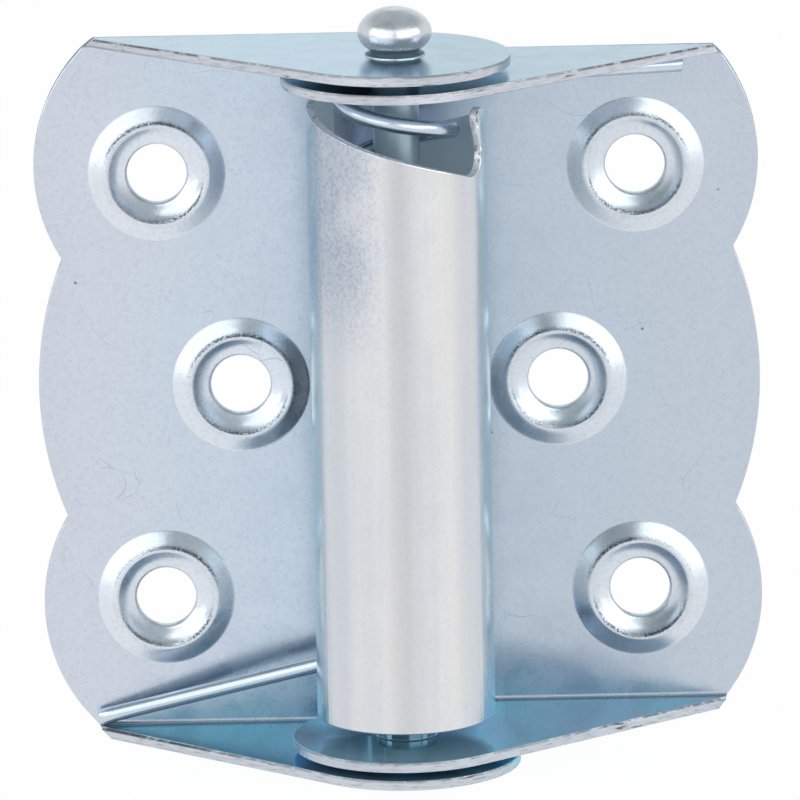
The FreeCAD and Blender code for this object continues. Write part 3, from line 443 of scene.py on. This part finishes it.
def spring_line():
    """Points along the middle of the wire, from the upper leg's tip to the lower leg's."""
    def lean(reach):
        return math.acos(COIL_RADIUS / math.hypot(reach, LEG_SEAT)) - math.atan2(reach, LEG_SEAT)
    first = math.pi / 2 + lean(DOOR_REACH)
    last = math.pi / 2 - lean(FRAME_REACH) + 2 * math.pi * COIL_TURNS
    front = 1.5 * math.pi
    front_height = UPPER_LEG - LEAD_DROP
    leg = math.sqrt(FRAME_REACH**2 + LEG_SEAT**2 - COIL_RADIUS**2)
    foot_fall = COIL_RADIUS * (LOWER_FOOT - LOWER_TIP) / leg
    spent = LEAD_FALL * math.pi + foot_fall * math.pi / 2
    steady = (front_height - LOWER_FOOT - spent) / (last - front - 1.5 * math.pi)
    lead_height = front_height - (LEAD_FALL + steady) * math.pi
    exit_height = LOWER_FOOT + (steady + foot_fall) * math.pi / 2
    lead_end = (front + 2 * math.pi, lead_height)
    upper = eased((first, UPPER_LEG), (front, front_height), 0.0, LEAD_FALL, LEAD_STEPS)
    second = eased((front, front_height), lead_end, LEAD_FALL, steady, LEAD_STEPS)
    steps = TURN_STEPS * int(COIL_TURNS - 1)
    body = (np.linspace(lead_end[0], last - math.pi, steps), np.linspace(lead_height, exit_height, steps))
    lower = eased((last - math.pi, exit_height), (last, LOWER_FOOT), steady, foot_fall, EXIT_STEPS)
    stretches = (upper, second, body)
    angle = np.concatenate([stretch[0][:-1] for stretch in stretches] + [lower[0]])
    height = np.concatenate([stretch[1][:-1] for stretch in stretches] + [lower[1]])
    coil = np.stack([COIL_RADIUS * np.cos(angle), COIL_RADIUS * np.sin(angle), height], 1)
    share = np.linspace(0.0, 1.0, LEG_STEPS)[:-1, None]
    door_tip = np.array([DOOR_REACH, LEG_SEAT, UPPER_LEG])
    frame_tip = np.array([-FRAME_REACH, LEG_SEAT, LOWER_TIP])
    head = door_tip + (coil[0] - door_tip) * share
    tail = frame_tip + (coil[-1] - frame_tip) * share
    return np.concatenate([head, coil, tail[::-1]]) + np.array([0.0, PIN_Y, 0.0])


def wire_frames(along):
    """Two directions across the wire at each point, carried along it without twist."""
    across = np.cross(along[0], (0.0, 0.0, 1.0))
    frames = []
    for direction in along:
        across = across - direction * across.dot(direction)
        across /= np.linalg.norm(across)
        frames.append((across, np.cross(direction, across)))
    return frames


def wire_mesh(name, line, radius):
    """A round wire along a line, its sheared ends slightly rounded."""
    along = np.gradient(line, axis=0)
    along /= np.linalg.norm(along, axis=1)[:, None]
    frames = wire_frames(along)
    lengths = np.concatenate([[0.0], np.cumsum(np.linalg.norm(np.diff(line, axis=0), axis=1))])
    last = len(line) - 1
    small, middling = radius - WIRE_NIP, radius - WIRE_NIP * NIP_SHARE
    stations = [(0, 0.0, small), (0, WIRE_NIP * NIP_SHARE, middling), (0, WIRE_NIP, radius)]
    stations += [(i, 0.0, radius) for i in range(1, last)]
    stations += [(last, -WIRE_NIP, radius), (last, -WIRE_NIP * NIP_SHARE, middling), (last, 0.0, small)]
    turn = np.linspace(0.0, 2 * math.pi, WIRE_SIDES, endpoint=False)
    rings = []
    for i, shift, size in stations:
        u, v = frames[i]
        middle = line[i] + along[i] * shift
        rings.append(middle + size * (np.cos(turn)[:, None] * u + np.sin(turn)[:, None] * v))
    faces = []
    for base in range(0, (len(rings) - 1) * WIRE_SIDES, WIRE_SIDES):
        for j in range(WIRE_SIDES):
            k = (j + 1) % WIRE_SIDES
            faces.append((base + j, base + k, base + WIRE_SIDES + k, base + WIRE_SIDES + j))
    faces.append(tuple(range(WIRE_SIDES))[::-1])
    base = (len(rings) - 1) * WIRE_SIDES
    faces.append(tuple(range(base, base + WIRE_SIDES)))
    mesh = bpy.data.meshes.new(name)
    mesh.from_pydata([tuple(p) for p in np.concatenate(rings)], [], faces)
    mesh.update()
    layer = mesh.uv_layers.new(name="wire")
    for poly in mesh.polygons:
        poly.use_smooth = len(poly.vertices) == 4
        closes_ring = poly.index % WIRE_SIDES == WIRE_SIDES - 1
        for loop in poly.loop_indices:
            ring, place = divmod(mesh.loops[loop].vertex_index, WIRE_SIDES)
            if place == 0 and closes_ring:
                place = WIRE_SIDES
            layer.data[loop].uv = (place / WIRE_SIDES, lengths[stations[ring][0]] * UV_PER_METRE)
    piece = bpy.data.objects.new(name, mesh)
    scene.collection.objects.link(piece)
    return piece


# ---------------------------------------------------------------- pressed leaves and rolled sleeve
# A pressed ring's section: distance from the hole's axis and place in depth, in mm.
DISH_FRONT = (
    (6.68, -1.005), (6.58, -1.035), (6.42, -1.105), (6.15, -1.235), (5.85, -1.38), (5.55, -1.525),
    (5.30, -1.645), (5.14, -1.715), (5.01, -1.757), (4.88, -1.77), (4.76, -1.752), (4.63, -1.69),
    (4.45, -1.565), (4.20, -1.395), (3.90, -1.23), (3.60, -1.11), (3.30, -1.03), (3.10, -0.98),
    (2.98, -0.91), (2.92, -0.80), (2.90, -0.66))
DISH_BACK = (
    (2.90, -0.06), (2.96, 0.0), (3.25, 0.0), (3.45, -0.07), (3.75, -0.25), (4.10, -0.46), (4.40, -0.62),
    (4.68, -0.72), (4.95, -0.71), (5.25, -0.58), (5.60, -0.39), (5.95, -0.18), (6.15, -0.07), (6.29, -0.01))
CREST = 4.90
CREST_SPREAD = 0.34
FOOT_SHADE_REACH = 6.68
DISH_MARKS = ("crest", "foot_shade", "pressed")
BEND_SHARE = 0.4                # what is left of the solid's radius inside an ear's bend
HAIR = 0.01 * MM
WELD = 0.001 * MM
FLAT_WITHIN = math.radians(0.4)
SHARP_FROM = math.radians(32.0)
ROUND_FROM = math.radians(58.0)
LEAF_ROUND = 0.12 * MM
SLEEVE_ROUND = 0.18 * MM


def merged(node, marks=()):
    """A node's surface as a new mesh: its corners joined and its flat facets merged."""
    shape = bmesh.new()
    shape.from_mesh(nodes[node].data)
    bmesh.ops.remove_doubles(shape, verts=shape.verts, dist=WELD)
    for mark in marks:
        shape.verts.layers.float.new(mark)
    bmesh.ops.dissolve_limit(shape, angle_limit=FLAT_WITHIN, verts=shape.verts, edges=shape.edges)
    return shape


def from_centre(corner, centre):
    return math.hypot(corner.co.x - centre[0], corner.co.z - centre[1])


def turn_about(corner, centre):
    return math.atan2(corner.co.z - centre[1], corner.co.x - centre[0])


def open_rings(shape, centre):
    """The two open loops left where a dish was, front first, as corners in order round the centre."""
    rim = {v for e in shape.edges if e.is_boundary for v in e.verts}
    near = [v for v in rim if from_centre(v, centre) < DISH_FOOT * 1.02]
    near.sort(key=lambda v: turn_about(v, centre))
    front = [v for v in near if v.co.y < -0.5 * SHEET]
    back = [v for v in near if v.co.y >= -0.5 * SHEET]
    return front, back


def lay_ring(shape, marks, centre, turns, reach, depth, front):
    ring = []
    for angle in turns:
        x = centre[0] + reach * MM * math.cos(angle)
        z = centre[1] + reach * MM * math.sin(angle)
        corner = shape.verts.new((x, depth * MM, z))
        if front:
            corner[marks["crest"]] = math.exp(-((reach - CREST) / CREST_SPREAD) ** 2)
            corner[marks["foot_shade"]] = 1.0 if reach == FOOT_SHADE_REACH else 0.0
            corner[marks["pressed"]] = 1.0
        ring.append(corner)
    return ring


def skin(shape, first, second):
    for i in range(len(first)):
        k = (i + 1) % len(first)
        shape.faces.new((first[i], first[k], second[k], second[i]))


def press_dish(shape, marks, centre):
    """Puts a soft pressed dish where the solid has its turned one."""
    def inside(corner):
        return from_centre(corner, centre) < DISH_FOOT + 2 * HAIR and corner.co.y > -4.0 * MM
    cut = [f for f in shape.faces if all(inside(v) for v in f.verts)]
    bmesh.ops.delete(shape, geom=cut, context="FACES")
    front, back = open_rings(shape, centre)
    turns = [turn_about(v, centre) for v in front]
    before = front
    for profile in (DISH_FRONT, DISH_BACK):
        for reach, depth in profile:
            ring = lay_ring(shape, marks, centre, turns, reach, depth, profile is DISH_FRONT)
            skin(shape, before, ring)
            before = ring
    # The solid's back loop has fewer corners than the rings, so the two are bridged.
    loops = [shape.edges.get((r[i - 1], r[i])) for r in (before, back) for i in range(len(r))]
    bmesh.ops.bridge_loops(shape, edges=[e for e in loops if e is not None])


def tighten_bends(shape, ear_inside):
    """Draws the inside of each ear's bend in towards its corner; its outer end keeps to the leaf's outline."""
    def on_bend(corner):
        from_plate, from_ear = -SHEET - corner.co.y, ear_inside - abs(corner.co.z)
        from_arc = math.hypot(BEND_INSIDE - from_plate, BEND_INSIDE - from_ear) - BEND_INSIDE
        within = max(from_plate, from_ear) < BEND_INSIDE + HAIR and min(from_plate, from_ear) > -HAIR
        by_pin = abs(corner.co.x) < 1.5 * MM and from_plate > BEND_INSIDE - HAIR
        return within and abs(from_arc) < 2 * HAIR and not by_pin
    bend = [corner for corner in shape.verts if on_bend(corner)]
    for end in (-1.0, 1.0):
        here = [v for v in bend if end * v.co.z > 0.0]
        outer = sorted((v for v in here if abs(v.co.x) > 20.0 * MM), key=lambda v: abs(v.co.z))
        levels, reaches = [abs(v.co.z) for v in outer], [v.co.x for v in outer]
        for corner in here:
            level = ear_inside - (ear_inside - abs(corner.co.z)) * BEND_SHARE
            corner.co.y = -SHEET - (-SHEET - corner.co.y) * BEND_SHARE
            corner.co.z = end * level
            if corner in outer:
                corner.co.x = float(np.interp(level, levels, reaches))


def settle(name, shape, node, body, material, round_off):
    """Makes the new piece that stands for a node, its sharp edges rounded off."""
    bmesh.ops.recalc_face_normals(shape, faces=shape.faces)
    for face in shape.faces:
        face.smooth = True
    mesh = bpy.data.meshes.new(name)
    shape.to_mesh(mesh)
    shape.free()
    mesh.set_sharp_from_angle(angle=SHARP_FROM)
    piece = bpy.data.objects.new(name, mesh)
    scene.collection.objects.link(piece)
    if round_off:
        bevel = piece.modifiers.new("rounded_edges", "BEVEL")
        bevel.limit_method = "ANGLE"
        bevel.angle_limit = ROUND_FROM
        bevel.width = round_off
        bevel.segments = 2
        bevel.use_clamp_overlap = False
        bevel.harden_normals = True
    dress(piece, material)
    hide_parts(node)
    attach(piece, body)
    return piece


def pressed_leaf(name, node, body, side, ear_inside, material):
    shape = merged(node, DISH_MARKS)
    marks = {mark: shape.verts.layers.float[mark] for mark in DISH_MARKS}
    for reach, level in DISH_PLACES:
        press_dish(shape, marks, (side * reach, level))
    tighten_bends(shape, ear_inside)
    return settle(name, shape, node, body, material, LEAF_ROUND)


def rolled_sleeve(material):
    shape = merged("spring_sleeve")
    settle("spring_sleeve_rolled", shape, "spring_sleeve", "frame", material, SLEEVE_ROUND)


# ---------------------------------------------------------------- the pin
# The pin's half section from its head down: distance from the axis and height, in mm.
PIN_PROFILE = (
    (0.0, 39.33), (0.7, 39.325), (1.20, 39.30), (1.38, 39.25), (1.75, 39.13), (2.20, 38.92), (2.65, 38.62),
    (3.05, 38.24), (3.33, 37.84), (3.50, 37.42), (3.55, 37.08), (3.50, 36.68), (3.36, 36.28), (3.13, 35.93),
    (2.88, 35.69), (2.68, 35.56), (2.50, 35.48), (2.36, 35.30), (2.28, 35.04), (2.60, 35.00), (2.82, 34.98),
    (2.89, 34.93), (2.90, 34.86), (2.20, 34.86), (2.20, 33.0), (2.20, 0.0), (2.20, -33.0), (2.20, -35.05),
    (2.95, -35.05), (3.14, -35.12), (3.20, -35.28), (3.14, -35.52), (2.92, -35.84), (2.60, -36.14),
    (2.25, -36.31), (1.90, -36.35), (0.0, -36.35))
PIN_SIDES = 72


def turned_pin(material):
    shape = bmesh.new()
    turns = [2 * math.pi * i / PIN_SIDES for i in range(PIN_SIDES)]
    before = None
    for reach, level in PIN_PROFILE:
        spots = [(reach * MM * math.cos(t), PIN_Y + reach * MM * math.sin(t), level * MM) for t in turns]
        if reach == 0.0:
            spots = [(0.0, PIN_Y, level * MM)]
        ring = [shape.verts.new(spot) for spot in spots]
        if before is not None:
            for i in range(PIN_SIDES):
                k = (i + 1) % PIN_SIDES
                if len(before) == 1:
                    shape.faces.new((before[0], ring[i], ring[k]))
                elif len(ring) == 1:
                    shape.faces.new((before[i], ring[0], before[k]))
                else:
                    shape.faces.new((before[i], ring[i], ring[k], before[k]))
        before = ring
    settle("hinge_pin_headed", shape, "hinge_pin", "frame", material, 0.0)


# ---------------------------------------------------------------- the pieces
spring = wire_mesh("spring_wire_round", spring_line(), WIRE_RADIUS)
dress(spring, spring_wire())
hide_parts("torsion_spring")
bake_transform(spring, "frame", "door", start=(0.0, PIN_Y, -22.0 * MM), end=(0.0, PIN_Y, 27.5 * MM))

leaf_finish = leaf_zinc()
frame_leaf = pressed_leaf("frame_leaf_pressed", "frame_leaf", "frame", -1.0, FRAME_EAR_INSIDE, leaf_finish)
door_leaf = pressed_leaf("door_leaf_pressed", "door_leaf", "door", 1.0, DOOR_EAR_INSIDE, leaf_finish)
rolled_sleeve(sleeve_zinc())
turned_pin(pin_steel())


# ---------------------------------------------------------------- floor, light and camera
WHITE = (1.0, 1.0, 1.0, 1.0)
PAPER = (0.88, 0.88, 0.88, 1.0)
PAPER_SHOWN = 0.97              # how far the floor is plain white to the camera and in reflections
STUDIO_BLUE = (0.72, 0.93, 1.0, 1.0)
FLOOR_HALF = 3.0
FLOOR_GAP = 0.0002
# Softboxes: place of the right one, width and height in metres; the left one is mirrored in x.
FRONT_BOX = ((0.60, -0.965, 0.47), 1.07, 1.10)
SIDE_BOX = ((0.80, -0.26, 0.36), 0.36, 0.46)
FRONT_LEFT_RADIANCE = 1.18
FRONT_RIGHT_RADIANCE = 1.28
SIDE_RADIANCE = 2.2
# The camera fitted to the photo, whose frame is 800 pixels wide; it stands 1 m from its aim.
CAMERA_TURN, CAMERA_TILT, CAMERA_ROLL = (math.radians(angle) for angle in (0.486, 13.37, -1.03))
CAMERA_AIM = Vector((-0.06, -8.0, -0.17)) * MM
FOCAL_PIXELS = 10371.0
FRAME_PIXELS = 800.0
SENSOR = 36.0


def make_floor(height):
    mesh = bpy.data.meshes.new("floor")
    grid = bmesh.new()
    bmesh.ops.create_grid(grid, x_segments=8, y_segments=8, size=FLOOR_HALF)
    grid.to_mesh(mesh)
    grid.free()
    floor = bpy.data.objects.new("floor", mesh)
    floor.location = (0.0, 0.0, height)
    scene.collection.objects.link(floor)
    s = Shader("floor_paper")
    s.finish(Base_Color=PAPER, Roughness=0.9)
    seen = s.add("ShaderNodeLightPath").outputs
    shown = s.math("MAXIMUM", seen["Is Camera Ray"], seen["Is Glossy Ray"])
    shown = s.math("MAXIMUM", shown, seen["Is Transmission Ray"])
    white = s.add("ShaderNodeEmission", {"Color": WHITE, "Strength": 1.0})
    both = {0: s.times(shown, PAPER_SHOWN), 1: s.surface.outputs[0], 2: white.outputs[0]}
    s.set(s.output.inputs["Surface"], s.add("ShaderNodeMixShader", both).outputs[0])
    dress(floor, s.material)


def make_world():
    """White to the camera, and else a bluish studio that is dimmer in front and overhead."""
    world = bpy.data.worlds.new("studio")
    scene.world = world
    world.use_nodes = True
    w = Nodes(world.node_tree)
    x, y, z = w.split(w.add("ShaderNodeTexCoord").outputs["Generated"])
    behind = w.ramp(z, 0.25, 0.80, 1.0, 0.55)
    front = w.ramp(z, 0.0, 0.15, 1.0, w.ramp(x, -0.6, 0.6, 0.36, 0.56))
    dusk = w.ramp(y, -0.2, 0.3, front, behind)
    level = w.math("MAXIMUM", w.add("ShaderNodeLightPath").outputs["Is Camera Ray"], dusk)
    sky = w.add("ShaderNodeBackground", {"Color": w.mix(level, STUDIO_BLUE, WHITE), "Strength": level})
    w.add("ShaderNodeOutputWorld", {"Surface": sky.outputs[0]})


def make_softbox(name, side, box, radiance, spared=()):
    """A soft panel that faces the origin and doesn't light the spared pieces."""
    (across, depth, height), wide, tall = box
    place = (side * across, depth, height)
    lamp = bpy.data.lights.new(name, "AREA")
    lamp.shape = "RECTANGLE"
    lamp.size, lamp.size_y = wide, tall
    lamp.energy = radiance * math.pi * wide * tall
    holder = bpy.data.objects.new(name, lamp)
    holder.location = place
    holder.rotation_mode = "QUATERNION"
    holder.rotation_quaternion = (-Vector(place)).to_track_quat("-Z", "Y")
    scene.collection.objects.link(holder)
    if spared:
        shaded = bpy.data.collections.new(name + "_shaded")
        for piece in spared:
            shaded.objects.link(piece)
        for entry in shaded.collection_objects:
            entry.light_linking.link_state = "EXCLUDE"
        holder.light_linking.receiver_collection = shaded


def make_camera():
    level_share, down = math.cos(CAMERA_TILT), -math.sin(CAMERA_TILT)
    forward = Vector((math.sin(CAMERA_TURN) * level_share, math.cos(CAMERA_TURN) * level_share, down))
    level = forward.cross(Vector((0.0, 0.0, 1.0))).normalized()
    upright = level.cross(forward)
    right = level * math.cos(CAMERA_ROLL) + upright * math.sin(CAMERA_ROLL)
    up = upright * math.cos(CAMERA_ROLL) - level * math.sin(CAMERA_ROLL)
    lens = bpy.data.cameras.new("camera")
    lens.sensor_width = SENSOR
    lens.lens = FOCAL_PIXELS / FRAME_PIXELS * SENSOR
    lens.clip_start, lens.clip_end = 0.05, 20.0
    camera = bpy.data.objects.new("camera", lens)
    axes = Matrix((right, up, -forward)).transposed().to_4x4()
    camera.matrix_world = Matrix.Translation(CAMERA_AIM - forward) @ axes
    scene.collection.objects.link(camera)
    scene.camera = camera


make_floor(cad_box[0].z - FLOOR_GAP)
make_world()
make_softbox("front_left", -1.0, FRONT_BOX, FRONT_LEFT_RADIANCE, (door_leaf,))
make_softbox("front_right", 1.0, FRONT_BOX, FRONT_RIGHT_RADIANCE, (frame_leaf,))
make_softbox("side_left", -1.0, SIDE_BOX, SIDE_RADIANCE)
make_softbox("side_right", 1.0, SIDE_BOX, SIDE_RADIANCE)
make_camera()

scene.view_settings.view_transform = "Standard"
